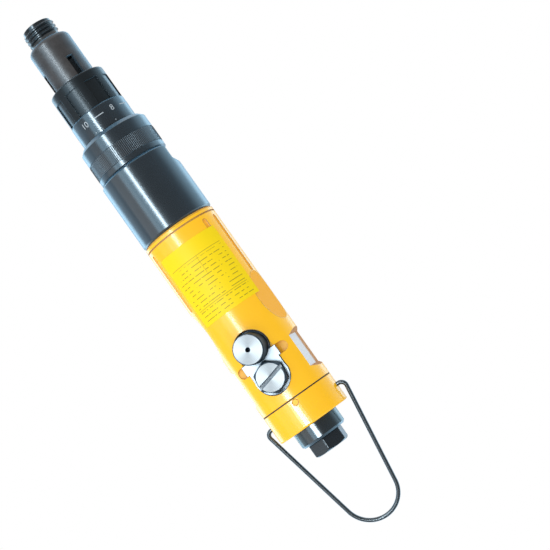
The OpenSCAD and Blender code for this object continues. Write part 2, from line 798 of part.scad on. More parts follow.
module thumb_scallop() {
    translate([body_r - scallop_depth + scallop_r, 0, z_seam - scallop_inset])
        rotate([90, 0, 0]) cylinder(r = scallop_r, h = body_d, center = true, $fn = 180);
}

module wrench_flat() {
    ramp = 2.4;
    top = z_seam - wrench_inset;
    deep = body_r - wrench_depth;
    rise = body_r - deep + over;
    slope = ramp * rise / (body_r - deep);
    rotate([90, 0, 0]) linear_extrude(body_d, center = true) polygon([[deep, top - wrench_len],
        [deep, top], [deep + rise, top + slope], [deep + rise, top - wrench_len - slope]]);
}

module plate_seat(grow) {
    translate([0, z_bolt, 0]) cylinder(r = plate_end_r + grow, h = body_r);
    translate([-plate_w / 2 - grow, z_button, 0])
        cube([plate_w + 2 * grow, z_bolt - z_button, body_r]);
}

module exhaust_ways(z0, z1) {
    for (i = [0:exhaust_holes - 1]) rotate(40 + 100 * i / (exhaust_holes - 1))
        translate([exhaust_ring_r, 0, 0]) bore(exhaust_hole_r, z0, z1);
}

module handle_body() color("#f2b705") difference() {
    union() {
        rod(housing_bore / 2 - seat_fit, z_spigot, z_body);
        rod(body_r, z_body, z_seam, c0 = 0.8, c1 = 0.3);
        rod(spigot_r, z_seam, z_spigot_end, c1 = edge);
    }
    // Turned inside, from the motor to the throttle chamber
    bore(motor_bore / 2, z_spigot - over, z_bore_end);
    bore(rod_way_r, z_bore_end - over, z_valve_seat + over);
    bore(chamber_r, z_valve_seat, z_spigot_end + over);
    exhaust_ways(z_bore_end - over, z_spigot_end + over);
    // Grip and wrench forms on both sides
    tube(body_r + over, body_r - 0.3, z_body + lip_len, z_body + lip_len + 0.5);
    for (side = [-1, 1]) {
        for (i = [0:groove_count - 1]) turned(side * (groove_turn + i * groove_pitch)) grip_groove();
        turned(side * scallop_turn) thumb_scallop();
        rotate(90 - 90 * side) wrench_flat();
    }
    // The reversing valve's bore and the seat of its retainer
    facing_button() {
        translate([0, z_button, button_floor]) cylinder(r = button_bore_r, h = body_r);
        translate([0, z_button, spool_bore_end]) cylinder(r = spool_d / 2 + run_fit, h = body_r);
        translate([0, 0, plate_bottom]) plate_seat(gap);
        cross_slot();
        translate([0, z_bolt, bolt_end - 0.4]) cylinder(d = bolt_d + 0.2, h = body_r);
    }
    pin_way(pin_d / 2 + seat_fit, spigot_r - 3);
}

module cross_slot() {
    end_r = ear_len / 2 + 0.15;
    mid = z_ear_end - ear_len / 2;
    half = cross_slot_w / 2 - end_r;
    translate([-half, mid - end_r, slot_floor]) cube([2 * half, 2 * end_r, body_r]);
    for (x = [-half, half]) translate([x, mid, slot_floor]) cylinder(r = end_r, h = body_r);
}

// The reverse button and its retainer
module reverse_button() color("#c4c7ca") facing_button() translate([0, z_button, 0]) difference() {
    union() {
        rod(button_r, button_flange_top, button_top, c1 = 0.5);
        rod(button_flange_r, button_flange_low, button_flange_top, c0 = 0.2, c1 = 0.2);
        rod(spool_d / 2, spool_end, button_flange_low, c0 = 0.3);
    }
    rod(button_hole_r, button_top - button_hole_len, button_top + over, c0 = button_hole_r - 0.2);
    tube(spool_d, spool_d / 2 - 1, spool_end + 1.6, spool_end + 3);
}

module button_spring() color("#9a9da1") facing_button() translate([0, z_button, 0])
    coil(spool_d / 2 - 1, 0.6, spool_bore_end, spool_end, 3);

module retainer_plate() color("#c9c6bd") facing_button() difference() {
    union() {
        intersection() {
            translate([0, 0, plate_bottom]) plate_seat(0);
            translate([-body_r, z_ear_end - ear_len, plate_bottom])
                cube([body_d, body_len, plate_t]);
        }
        translate([-ear_w / 2, z_ear_end - ear_len, plate_bottom]) cube([ear_w, ear_len, plate_t]);
    }
    translate([0, z_button, 0]) cylinder(r = button_r + 0.4, h = body_d);
    translate([0, z_bolt, 0]) cylinder(d = bolt_d + 0.4, h = body_d);
}

module retainer_bolt() color("#b9b7b0") facing_button() translate([0, z_bolt, 0]) {
    difference() {
        rotate(83) hex_head(bolt_af, plate_top, plate_top + bolt_head_h);
        rotate(13) translate([-bolt_af, -bolt_slot_w / 2, plate_top + bolt_head_h - 1.6])
            cube([2 * bolt_af, bolt_slot_w, bolt_head_h]);
    }
    rod(bolt_d / 2, bolt_end, plate_top, c0 = 0.6);
}

// The rear cap
module pin_way(r, low) {
    turned(pin_turn) translate([low, 0, z_pin]) rotate([0, 90, 0])
        cylinder(r = r, h = cap_d / 2 - low + over);
}

module rear_gasket() color("#17181a")
    tube(min(body_d, cap_d) / 2 - 0.1, spigot_r + seat_fit, z_seam, z_cap);

module rear_cap() color("#f2b705") difference() {
    r = cap_d / 2;
    round_r = 1;
    union() {
        rod(r, z_cap, z_tail - round_r, c0 = 0.3);
        translate([0, 0, z_tail - round_r]) rotate_extrude() translate([r - round_r, 0])
            circle(round_r);
        bore(r - round_r, z_tail - round_r, z_tail);
    }
    bore(spigot_r + seat_fit, z_cap - over, z_spigot_end + 0.2);
    bore(shank_d / 2 + seat_fit, z_cap, z_tail + over);
    exhaust_ways(z_cap, z_tail + over);
    pin_way(pin_d / 2 + seat_fit, spigot_r - over);
    pin_way(pin_d / 2 + pin_ring, cap_d / 2 - pin_ring);
    for (side = [-1, 1]) translate([side * hanger_pin_in - (side < 0 ? cap_d : 0), 0, z_pivot])
        rotate([0, 90, 0]) cylinder(r = wire_r + 0.1, h = cap_d);
}

module cap_pin() color("#d9a406") intersection() {
    pin_way(pin_d / 2, spigot_r - 2.8);
    bore(cap_d / 2 - 0.1, z_cap, z_tail);
}

// The air inlet
z_bushing = z_spigot_end + 0.3;
screen_r = 5;
screen_t = 0.8;

module exhaust_collar() color("#202328") difference() {
    rod(exhaust_d / 2, z_tail, z_hex, c0 = 0.3, c1 = 1.2);
    bore(shank_d / 2 + seat_fit, z_tail - over, z_hex + over);
}

module inlet_bushing() color("#24282d") difference() {
    union() {
        rod(shank_d / 2, z_bushing, z_hex + over);
        rotate(inlet_turn) hex_head(inlet_af, z_hex, z_end);
    }
    bore(inlet_d / 2, z_end - inlet_depth, z_end + over);
    bore(screen_r + seat_fit, z_end - inlet_depth - screen_t, z_end);
    translate([0, 0, z_end - edge]) cylinder(r1 = inlet_d / 2, r2 = inlet_d / 2 + edge, h = edge);
    bore(3.6, z_bushing - over, z_end);
}

module inlet_screen() color("#b08d4a") difference() {
    z0 = z_end - inlet_depth - screen_t;
    hole_r = 0.7;
    rod(screen_r, z0, z0 + screen_t);
    bore(hole_r, z0 - over, z0 + screen_t + over);
    for (i = [0:5]) rotate(60 * i) translate([2.4, 0, 0])
        bore(hole_r, z0 - over, z0 + screen_t + over);
}

// The hanger: two pivot ends, two bends, two legs and one end bend
module hanger_side() {
    straight_r = wire_r - 0.02;
    lap = 0.1;
    translate([hanger_pin_in + 0.3, 0, 0]) rotate([0, 90, 0])
        cylinder(r = straight_r, h = bend_x - hanger_pin_in - 0.3 + lap);
    translate([bend_x, 0, hanger_bend_r]) rotate([90, 0, 0]) rotate(-90)
        rotate_extrude(angle = 90 + hanger_taper) translate([hanger_bend_r, 0]) circle(wire_r);
    translate([bend_x + hanger_bend_r * cos(hanger_taper), 0,
        hanger_bend_r * (1 + sin(hanger_taper))]) rotate([0, -hanger_taper, 0])
        translate([0, 0, -lap]) cylinder(r = straight_r, h = leg_len + 2 * lap);
}

module hanger_bail() color("#16181b") translate([0, 0, z_pivot]) rotate([-hanger_lean, 0, 0]) {
    hanger_side();
    mirror([1, 0, 0]) hanger_side();
    translate([0, 0, hanger_len]) rotate([90, 0, 0]) rotate(hanger_taper)
        rotate_extrude(angle = 180 - 2 * hanger_taper) translate([hanger_r, 0]) circle(wire_r);
}

nose_bush();
front_sleeve();
spindle_bush();
bit_holder();
bit_ball();
bit_clip();
spindle_shaft();
spring_seat();
clutch_spring();
torque_collar();
scale_ring();
lock_ring();
clutch_housing();
thrust_washer();
driven_disc();
clutch_balls();
clutch_driver();
carrier_bearing();
planet_carrier();
planet_pins();
planet_gear_1();
planet_gear_2();
planet_gear_3();
ring_gear();
sun_pinion();
front_end_plate();
front_bearing();
motor_liner();
rotor();
rotor_vanes();
rear_end_plate();
rear_bearing();
push_rod();
throttle_valve();
throttle_spring();
handle_body();
reverse_button();
button_spring();
retainer_plate();
retainer_bolt();
rear_gasket();
rear_cap();
cap_pin();
exhaust_collar();
inlet_bushing();
inlet_screen();
hanger_bail();
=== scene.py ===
"""Looks of an in-line pneumatic screwdriver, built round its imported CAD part.

The tool lies along Z with its nose at the origin, and its button faces -Y.
"""

import json
import math

import bmesh
import bpy
from mathutils import Matrix, Vector


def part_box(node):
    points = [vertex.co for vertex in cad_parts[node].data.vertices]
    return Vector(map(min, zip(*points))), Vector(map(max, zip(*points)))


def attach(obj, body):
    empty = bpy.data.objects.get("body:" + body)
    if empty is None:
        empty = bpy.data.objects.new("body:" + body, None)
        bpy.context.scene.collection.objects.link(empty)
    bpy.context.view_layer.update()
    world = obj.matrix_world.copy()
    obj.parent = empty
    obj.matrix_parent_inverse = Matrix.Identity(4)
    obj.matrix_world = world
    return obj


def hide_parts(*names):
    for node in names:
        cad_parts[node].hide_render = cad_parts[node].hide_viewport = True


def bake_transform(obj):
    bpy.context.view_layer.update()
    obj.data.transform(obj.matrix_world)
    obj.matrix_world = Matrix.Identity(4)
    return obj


bl_info = {
    "name": "Pneumatic Screwdriver Looks",
    "version": (1, 0, 0),
    "blender": (4, 5, 0),
    "location": "View3D > Sidebar > Screwdriver",
    "description": "Threads, knurl, scale, label, springs, finishes and stage of a screwdriver",
    "category": "Object",
}

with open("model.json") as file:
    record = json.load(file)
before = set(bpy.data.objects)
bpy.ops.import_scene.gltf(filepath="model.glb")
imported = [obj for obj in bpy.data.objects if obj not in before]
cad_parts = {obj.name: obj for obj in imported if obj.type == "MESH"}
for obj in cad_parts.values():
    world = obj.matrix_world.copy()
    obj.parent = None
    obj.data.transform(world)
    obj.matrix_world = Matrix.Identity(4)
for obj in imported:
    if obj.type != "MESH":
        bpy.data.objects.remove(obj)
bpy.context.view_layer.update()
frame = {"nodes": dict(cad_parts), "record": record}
NODES = frame["nodes"]
MM = 0.001
WELD = 1e-7  # points nearer to each other than this become one


def radius_of(node):
    """Outside radius of a round node, from its box."""
    low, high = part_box(node)
    return (high.x - low.x) / 2


def front_of(node):
    """Place of a node's end on the nose's side."""
    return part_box(node)[0].z


def rear_of(node):
    """Place of a node's end on the inlet's side."""
    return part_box(node)[1].z


# ---------------------------------------------------------------- sizes and colours


def length(name, about, value, low=0.0, high=1.0):
    """A property in metres."""
    return bpy.props.FloatProperty(
        name=name, description=about, default=value, min=low, max=high,
        subtype="DISTANCE", unit="LENGTH", precision=5,
    )


def angle(name, about, degrees):
    """A property that is shown in degrees."""
    return bpy.props.FloatProperty(
        name=name, description=about, default=math.radians(degrees),
        subtype="ANGLE", unit="ROTATION",
    )


def colour(name, about, rgb):
    """An opaque colour."""
    return bpy.props.FloatVectorProperty(
        name=name, description=about, default=(*rgb, 1.0), size=4,
        subtype="COLOR", min=0.0, max=1.0,
    )


def amount(name, about, value, low=0.0, high=1000.0):
    """A strength without a unit of length."""
    return bpy.props.FloatProperty(
        name=name, description=about, default=value, min=low, max=high
    )


def count(name, about, value, low, high):
    """A whole number."""
    return bpy.props.IntProperty(
        name=name, description=about, default=value, min=low, max=high
    )


class NoseSizes(bpy.types.PropertyGroup):
    """Sizes of the nose thread."""

    crest_r: length("Crest radius", "Radius at the thread's crests", 9.45 * MM)
    root_r: length("Root radius", "Radius at the thread's roots", 8.55 * MM)
    pitch: length("Pitch", "Distance between two crests", 2.4 * MM)
    run: length("Thread length", "Length of nose that carries the thread", 10.4 * MM)
    neck_r: length("Neck radius", "Radius of the neck behind the thread", 8.6 * MM)
    mouth_r: length("Mouth radius", "Radius of the hole in the nose's face", 6.35 * MM)
    lip: length("Face thickness", "Thickness of the nose's face round that hole", 1.0 * MM)
    front: length(
        "Sleeve front", "Thickness of the sleeve's front that the neck goes through", 3.0 * MM
    )


class KnurlSizes(bpy.types.PropertyGroup):
    """Sizes of the lock ring's knurled band."""

    ridges: count("Ridges", "Ridges round the band", 132, 40, 240)
    depth: length("Depth", "Height of a ridge", 0.32 * MM)
    stand: length("Stand", "Height of the ridges' crests over the ring", 0.12 * MM)
    wall: length("Wall", "Thickness of the band", 0.5 * MM)
    start: length("Start", "Place of the band's front edge", 83.0 * MM)
    run: length("Length", "Length of the band", 9.0 * MM)


class MarkSizes(bpy.types.PropertyGroup):
    """Sizes of the marks on the scale ring."""

    digit: length("Digit height", "Height of the numbers", 3.5 * MM)
    dash_run: length("Dash length", "Length of a dash round the ring", 6.4 * MM)
    dash_w: length("Dash width", "Width of a dash along the tool", 0.5 * MM)
    dot: length("Dot radius", "Radius of the index dots", 0.3 * MM)
    dots: count("Dots", "Index dots round the ring", 8, 2, 24)
    film: length("Paint thickness", "Thickness of the paint", 0.05 * MM)
    nine: angle("Dash that is read", "Turn of the dash for nine from the button", 13.5)
    step: angle("Step", "Angle between a number and the next dash", 30.0)


class LabelSizes(bpy.types.PropertyGroup):
    """Sizes of the plain label on the handle."""

    start: length("Start", "Place of the label's front edge", 148.5 * MM)
    end: length("End", "Place of the label's rear edge", 191.7 * MM)
    left: angle("Left edge", "Turn of one edge from the button, towards +X", 42.3)
    right: angle("Right edge", "Turn of the other edge from the button, towards -X", 60.7)
    stand: length("Stand", "Height of the label's face over the handle", 0.10 * MM)


class InletSizes(bpy.types.PropertyGroup):
    """Sizes of the inlet's pipe thread."""

    bore_r: length("Bore radius", "Radius of the inlet's bore", 5.8 * MM)
    mouth: length("Mouth", "Length at the inlet's end that has no thread", 1.6 * MM)
    pitch: length("Pitch", "Distance between two crests", 1.337 * MM)
    height: length("Height", "Height of the thread in the bore", 0.45 * MM)


class SpringSizes(bpy.types.PropertyGroup):
    """Wires and turns of the three springs."""

    clutch: length("Clutch wire", "Wire of the clutch spring", 2.2 * MM)
    clutch_turns: count("Clutch turns", "Turns of the clutch spring", 6, 2, 20)
    throttle: length("Throttle wire", "Wire of the throttle spring", 1.0 * MM)
    throttle_turns: count("Throttle turns", "Turns of the throttle spring", 8, 2, 20)
    button: length("Button wire", "Wire of the button's spring", 0.6 * MM)
    button_turns: count("Button turns", "Turns of the button's spring", 3, 2, 20)


class FlatSizes(bpy.types.PropertyGroup):
    """Place of the handle's wrench flats, whose paint is milled off."""

    half: length("Half width", "Distance from the tool's axis to a flat", 18.4 * MM)
    start: length("Start", "Place of the flats' front end", 219.9 * MM)
    end: length("End", "Place of the flats' rear end", 239.9 * MM)
    fade: length("Fade", "Place across a flat where the paint begins again", 3.0 * MM, -0.1)
    # Painted shade: the flats' end walls and far strips take this brown.
    brown: colour("Unlit paint", "Paint at the ends and far edge of a flat", (0.50, 0.20, 0.02))
    # A dark brown line along the paint's sharp edges ahead of the flats.
    contour: colour("Contour", "Worn edges of the paint", (0.26, 0.13, 0.05))


class Finishes(bpy.types.PropertyGroup):
    """Colours of the tool's finishes."""

    paint: colour("Handle paint", "Yellow of the handle and cap", (0.96, 0.52, 0.008))
    label: colour("Label", "Lemon of the label", (0.86, 0.64, 0.003))
    ink: colour("Label rules", "Thin rules on the label", (0.11, 0.09, 0.02))
    mark: colour("Scale paint", "Numbers and dashes", (0.36, 0.42, 0.46))
    black: colour("Black oxide", "Housing, rings and inlet", (0.005, 0.007, 0.009))
    slate: colour("Collar", "Torque collar", (0.006, 0.009, 0.011))
    wire: colour("Wire", "Black wire of the bail", (0.008, 0.011, 0.013))
    sheen: colour(
        "Oxide sheen", "Pale blue of blackened steel seen along its surface", (0.32, 0.68, 1.0)
    )
    brown: colour("Sleeve", "Phosphated front sleeve", (0.060, 0.054, 0.052))
    silver: colour("Bright steel", "Turned button and bolt", (0.30, 0.28, 0.27))
    plate: colour("Plated steel", "Retainer plate", (0.42, 0.42, 0.425))
    bare: colour("Bare metal", "Milled wrench flats of the handle", (0.65, 0.53, 0.48))
    # Dirt and painted shade in corners of bare steel, painted shade on turned flanks and a
    # painted dark reflection along sharp edges.
    grime: colour("Grime", "Dark film in corners of bare steel", (0.022, 0.030, 0.038))
    machined: colour("Machined steel", "Gears, motor and springs", (0.36, 0.37, 0.39))
    bronze: colour("Bronze", "Plain bearings", (0.55, 0.36, 0.15))
    brass: colour("Brass", "Inlet screen", (0.62, 0.46, 0.2))
    vane: colour("Vanes", "Composite of the motor's vanes", (0.12, 0.06, 0.03))
    rubber: colour("Rubber", "Gasket", (0.012, 0.012, 0.013))


class StageSizes(bpy.types.PropertyGroup):
    """Light and floor of the stage."""

    drop: length("Floor drop", "Height of the floor below the nose", 0.75, 0.0, 5.0)
    floor: colour("Floor", "Colour of the floor", (0.93, 0.93, 0.93))
    key: amount("Key strip", "Power of the long strip beside the camera", 7.4)
    tail: amount("Tail strip", "Power of the short strip beside the inlet", 5.0)
    fill: amount("Fill", "Power of the broad lamp in front", 3.0)
    glow: amount("Glow", "Power of the broad lamp round the strip, in reflections", 5.6)
    sky: amount(
        "Sky", "Brightness of the lit side of the surroundings on matt surfaces", 1.25, 0.0, 4.0
    )
    shade: amount(
        "Shade", "Brightness of the other side of the surroundings", 0.75, 0.0, 4.0
    )
    left_wall: amount(
        "Left wall", "Brightness of the cool wall on the lit side, in reflections", 4.2
    )
    right_wall: amount("Right wall", "Brightness of the cool wall on the other side", 3.4)
    left_side: amount(
        "Left side", "Brightness of the room beside the tool, on the lit side", 0.6, 0.0, 4.0
    )
    right_side: amount(
        "Right side", "Brightness of the room on the other side", 1.6, 0.0, 4.0
    )
    room: amount(
        "Room", "Brightness of the room behind the camera, in reflections", 0.2, 0.0, 1.0
    )


# ---------------------------------------------------------------- modelling helpers


def clear_selection():
    """Leaves edit mode and selects nothing."""
    if bpy.context.object and bpy.context.object.mode != "OBJECT":
        bpy.ops.object.mode_set(mode="OBJECT")
    bpy.ops.object.select_all(action="DESELECT")


def pick(*pieces):
    """Selects only these pieces, the first one as the active one."""
    clear_selection()
    for piece in pieces:
        piece.select_set(True)
    bpy.context.view_layer.objects.active = pieces[0]


def begin(name):
    """Starts a new object as one vertex at the origin, in edit mode."""
    clear_selection()
    bpy.ops.mesh.primitive_plane_add(size=1.0, location=(0, 0, 0))
    piece = bpy.context.object
    piece.name = piece.data.name = name
    bpy.ops.object.mode_set(mode="EDIT")
    bpy.ops.mesh.select_mode(type="VERT")
    bpy.ops.mesh.select_all(action="SELECT")
    bpy.ops.mesh.merge(type="CENTER")
    return piece


def draw(points, closed=False, turn=0.0):
    """Draws a chain of edges through (radius, height) points in a plane through the axis."""
    places = [Vector((r * math.cos(turn), r * math.sin(turn), z)) for r, z in points]
    bpy.ops.mesh.select_all(action="SELECT")
    bpy.ops.transform.translate(value=places[0])
    here = places[0]
    for there in [*places[1:], *(places[:1] if closed else [])]:
        bpy.ops.mesh.extrude_region_move(TRANSFORM_OT_translate={"value": there - here})
        here = there
    bpy.ops.mesh.select_all(action="SELECT")
    if closed:
        bpy.ops.mesh.remove_doubles(threshold=WELD)


def recalculate():
    """Turns all faces of the mesh in edit mode outwards."""
    bpy.ops.mesh.select_all(action="SELECT")
    bpy.ops.mesh.normals_make_consistent(inside=False)


def spin(degrees, steps):
    """Spins the drawn chain about the tool's axis."""
    bpy.ops.mesh.select_all(action="SELECT")
    bpy.ops.mesh.spin(
        steps=steps, angle=math.radians(degrees), center=(0, 0, 0), axis=(0, 0, -1)
    )
    bpy.ops.mesh.select_all(action="SELECT")
    bpy.ops.mesh.remove_doubles(threshold=WELD)
    recalculate()


def apply_modifiers(piece):
    """Applies a piece's modifiers in their order."""
    pick(piece)
    for modifier in list(piece.modifiers):
        bpy.ops.object.modifier_apply(modifier=modifier.name)


def settle(piece, smooth=35.0):
    """Leaves a piece at the origin, unturned, with smooth shading below an angle."""
    pick(piece)
    bpy.ops.object.transform_apply(location=True, rotation=True, scale=True)
    bpy.ops.object.shade_smooth_by_angle(angle=math.radians(smooth))
    piece.select_set(False)
    return piece


def screwed(piece, rise, turns, steps):
    """Screws a closed outline up the tool's axis and closes its two ends."""
    clear_selection()
    screw = piece.modifiers.new("turns", "SCREW")
    screw.axis = "Z"
    screw.angle = math.tau * turns
    screw.screw_offset = rise
    screw.iterations = 1
    screw.steps = screw.render_steps = round(steps * turns)
    screw.use_merge_vertices = True
    screw.merge_threshold = 10 * WELD
    apply_modifiers(piece)
    bpy.ops.object.mode_set(mode="EDIT")
    bpy.ops.mesh.select_mode(type="EDGE")
    bpy.ops.mesh.select_all(action="DESELECT")
    bpy.ops.mesh.select_non_manifold()
    bpy.ops.mesh.fill_holes(sides=0)
    recalculate()
    bpy.ops.object.mode_set(mode="OBJECT")
    return piece


def thread_ridge(name, root, crest, start, pitch, turns, foot, land, steps):
    """A thread: a trapezoid with a foot and a land, drawn once and screwed up the axis."""
    piece = begin(name)
    draw(
        [(root, start - foot / 2), (crest, start - land / 2), (crest, start + land / 2),
         (root, start + foot / 2)],
        closed=True,
    )
    return screwed(piece, pitch * turns, turns, steps)


def join(pieces):
    """Joins pieces into the first one."""
    pick(*pieces)
    bpy.ops.object.join()
    return pieces[0]


def copies(piece, number):
    """The piece and copies of it, each with a mesh of its own."""
    made = [piece]
    while len(made) < number:
        pick(piece)
        bpy.ops.object.duplicate(linked=False)
        made.append(bpy.context.object)
    return made


def facing(turn, out, z):
    """A frame on the tool's side: x round towards -X, y towards the nose, z outwards."""
    s, c = math.sin(turn), math.cos(turn)
    outward = Vector((-s, -c, 0))
    across = Vector((-c, s, 0))
    place = outward * out + Vector((0, 0, z))
    return Matrix(
        ((across.x, 0, outward.x, place.x), (across.y, 0, outward.y, place.y),
         (0, -1, 0, place.z), (0, 0, 0, 1))
    )


def thicken(piece, depth):
    """Adds a wall below a sheet's face."""
    wall = piece.modifiers.new("wall", "SOLIDIFY")
    wall.thickness = depth
    wall.offset = -1


def wrap(piece, target, film):
    """Lays a flat mesh on a round CAD node as a closed film, just clear of the node."""
    pick(piece)
    bpy.ops.object.transform_apply(location=True, rotation=True, scale=True)
    lay = piece.modifiers.new("lay", "SHRINKWRAP")
    lay.target = NODES[target]
    lay.wrap_method = "NEAREST_SURFACEPOINT"
    lay.wrap_mode = "ABOVE_SURFACE"
    lay.offset = film
    solid_share = 0.9
    thicken(piece, film * solid_share)
    apply_modifiers(piece)
    return piece


# ---------------------------------------------------------------- materials


class Value:
    """A shader value whose arithmetic adds Math nodes."""

    def __init__(self, look, socket):
        self.look, self.socket = look, socket

    def _math(self, kind, a, b=0.0):
        return self.look.value(0, "ShaderNodeMath", {"operation": kind}, {0: a, 1: b})

    def __add__(self, other):
        return self._math("ADD", self, other)

    __radd__ = __add__

    def __sub__(self, other):
        return self._math("SUBTRACT", self, other)

    def __rsub__(self, other):
        return self._math("SUBTRACT", other, self)

    def __mul__(self, other):
        return self._math("MULTIPLY", self, other)

    __rmul__ = __mul__

    def __truediv__(self, other):
        return self._math("DIVIDE", self, other)

    def __rtruediv__(self, other):
        return self._math("DIVIDE", other, self)

    def __gt__(self, other):
        return self._math("GREATER_THAN", self, other)

    def __lt__(self, other):
        return self._math("LESS_THAN", self, other)

    def __abs__(self):
        return self._math("ABSOLUTE", self)

    def sqrt(self):
        return self._math("SQRT", self)

    def sine(self):
        return self._math("SINE", self)

    def fract(self):
        return self._math("FRACT", self)

    def atan2(self, other):
        return self._math("ARCTAN2", self, other)

    def top(self, other):
        return self._math("MAXIMUM", self, other)


class Look:
    """A procedural material on one Principled shader, or the nodes of a world."""

    def __init__(self, owner):
        """owner is the name of a new material, or a world."""
        if isinstance(owner, bpy.types.World):
            self.tree = owner.node_tree
            self.tree.nodes.clear()
            self.out = self.node("ShaderNodeOutputWorld")
            return
        self.material = bpy.data.materials.new(owner)
        self.material.use_nodes = True
        self.tree = self.material.node_tree
        self.tree.nodes.clear()
        self.out = self.node("ShaderNodeOutputMaterial")
        self.shader = self.node("ShaderNodeBsdfPrincipled")
        self.tree.links.new(self.shader.outputs[0], self.out.inputs["Surface"])
        self.place = self.value("Object", "ShaderNodeTexCoord")

    def node(self, kind, settings=None, sockets=None):
        """Adds a node, with its settings first and then its sockets."""
        made = self.tree.nodes.new(kind)
        for key, setting in (settings or {}).items():
            setattr(made, key, setting)
        for key, value in (sockets or {}).items():
            self.feed(made.inputs[key], value)
        return made

    def value(self, output, kind, settings=None, sockets=None):
        """Adds a node and gives one of its outputs."""
        return Value(self, self.node(kind, settings, sockets).outputs[output])

    def feed(self, socket, value):
        """Links a value to a socket, or sets a constant on it."""
        if isinstance(value, Value):
            self.tree.links.new(value.socket, socket)
        else:
            socket.default_value = value

    def set(self, **values):
        """Feeds the shader's sockets by their names."""
        for key, value in values.items():
            self.feed(self.shader.inputs[key.replace("_", " ")], value)

    def axes(self):
        """The place on the piece, as x, y and z."""
        split = self.node("ShaderNodeSeparateXYZ", None, {0: self.place})
        return [Value(self, split.outputs[i]) for i in range(3)]

    def surface(self, output):
        """What the surface itself gives, such as its Normal."""
        return self.value(output, "ShaderNodeNewGeometry")

    def dot(self, a, b):
        """How far two directions agree, from -1 to 1."""
        return self.value(
            "Value", "ShaderNodeVectorMath", {"operation": "DOT_PRODUCT"}, {0: a, 1: b}
        )

    def noise(self, scale, detail=3.0, rough=0.5, stretch=None):
        """A cloud over the piece, from 0 to 1."""
        where = self.place
        if stretch:
            where = self.value(
                0, "ShaderNodeMapping", None, {"Vector": where, "Scale": stretch}
            )
        return self.value(
            0, "ShaderNodeTexNoise", None,
            {"Vector": where, "Scale": scale, "Detail": detail, "Roughness": rough},
        )

    def blend(self, factor, a, b):
        """The colour a where the factor is 0, and b where it is 1."""
        return self.value(
            2, "ShaderNodeMix", {"data_type": "RGBA"}, {0: factor, 6: a, 7: b}
        )

    def ramp(self, value, low, high):
        """A smooth step from 0 at low to 1 at high."""
        return self.value(
            0, "ShaderNodeMapRange", {"interpolation_type": "SMOOTHSTEP"},
            {0: value, 1: low, 2: high},
        )

    def crevice(self, reach):
        """1 on open surface, towards 0 in corners."""
        return self.value(
            "AO", "ShaderNodeAmbientOcclusion", {"samples": 6}, {"Distance": reach}
        )

    def rounded(self, radius):
        """The surface's own direction, with edges that shade as if rounded."""
        return self.value(0, "ShaderNodeBevel", {"samples": 6}, {"Radius": radius})

    def edges(self, radius, low, high):
        """1 along sharp edges, 0 away from them."""
        agree = self.dot(self.rounded(radius), self.surface("Normal"))
        return self.ramp(1.0 - agree, low, high)

    def bump(self, height, strength, distance, normal=None):
        """A direction that is roughened by a height."""
        sockets = {"Strength": strength, "Distance": distance, "Height": height}
        if normal:
            sockets["Normal"] = normal
        return self.value(0, "ShaderNodeBump", None, sockets)


FINE = 0.1 * MM  # height of the grain of metal


def shade(rgba, *factors):
    """A colour times one factor, or times a factor for each channel."""
    if len(factors) == 1:
        factors *= 3
    return (*(min(1.0, c * factor) for c, factor in zip(rgba, factors)), 1.0)


def paint_look(name, rgba, bare, flats):
    """Gloss enamel with a faint orange peel, milled off on the handle's two wrench flats, with
    painted shade in its corners, recesses and at the flats.
    """
    look = Look(name)
    x, y, z = look.axes()

    # Bare metal on the flats; towards their far edge the paint begins again, in a darker brown
    # that is painted shade
    play, fade_run = 0.05 * MM, 4.0 * MM
    square = abs(look.dot(look.surface("True Normal"), (1.0, 0.0, 0.0))) > 0.995
    level = abs(abs(x) - flats.half) < play
    flat = square * level * (z > flats.start) * (z < flats.end)
    milled = flat * (1.0 - look.ramp(y, flats.fade, flats.fade + fade_run))

    # Recesses are lower than the handle's round surface, and the grip's lie ahead of the flats
    skin, margin, grip_x = 0.07 * MM, 5.0 * MM, 15.0 * MM
    below = (x * x + y * y).sqrt() < radius_of("handle_body") - skin
    near = (z > flats.start - margin) * (z < flats.end + margin)
    ends = (abs(x) > flats.half - play) * below * near
    grip = z < flats.start - margin
    shaded_recess = below * (abs(x) > grip_x) * grip
    wear_and_edge_lines = look.edges(0.5 * MM, 0.0015, 0.006) * grip

    outer = look.blend(look.noise(28.0, 2.0), shade(rgba, 0.96), shade(rgba, 1.04))
    # Scallops and grip grooves take a deeper orange: painted shade.
    even = look.blend(shaded_recess, outer, shade(rgba, 0.96, 0.82, 0.6))
    # The grip's sharp edges are lined in the contour's dark brown and made duller.
    lined = look.blend(wear_and_edge_lines * 0.9, even, tuple(flats.contour))
    # Corners and crevices of the paint darken to brown: painted shade.
    unshaded_paint = look.ramp(look.crevice(1.3 * MM), 0.1, 0.75)
    painted = look.blend(unshaded_paint, shade(rgba, 0.36, 0.26, 0.4), lined)
    # The flats' end walls and their unmilled far strips take the darker brown: painted shade.
    with_flat_shade = look.blend(ends, painted, tuple(flats.brown))

    gloss, dull, cloud = 0.21, 0.4, look.noise(60.0, 3.0) * 0.04
    peel = look.noise(900.0, 2.0)
    look.set(
        Base_Color=look.blend(milled, with_flat_shade, tuple(bare)),
        Metallic=milled,
        Roughness=gloss + below * dull + wear_and_edge_lines * (1.0 - below) * dull + cloud,
        Specular_IOR_Level=0.5,
        Normal=look.bump(peel, 0.003, 0.2 * MM, look.rounded(0.1 * MM)),
    )
    return look.material


def oxide_look(name, rgba, sheen, rough, haze=0.47, grain=0.0, gloss=0.9, edge=0.3 * MM):
    """Blackened steel: dark and satin, with the pale blue haze of its oil."""
    look = Look(name)
    cloud = look.noise(70.0, 4.0, 0.6)
    normal = look.rounded(edge)
    if grain:
        normal = look.bump(look.noise(4200.0, 2.0), grain, FINE, normal)
    look.set(
        Base_Color=look.blend(cloud, shade(rgba, 0.6), shade(rgba, 1.5)),
        Sheen_Weight=1.0,
        Sheen_Roughness=haze,
        Sheen_Tint=sheen,
        Roughness=rough + cloud * 0.06,
        Specular_IOR_Level=gloss,
        Normal=normal,
    )
    return look.material


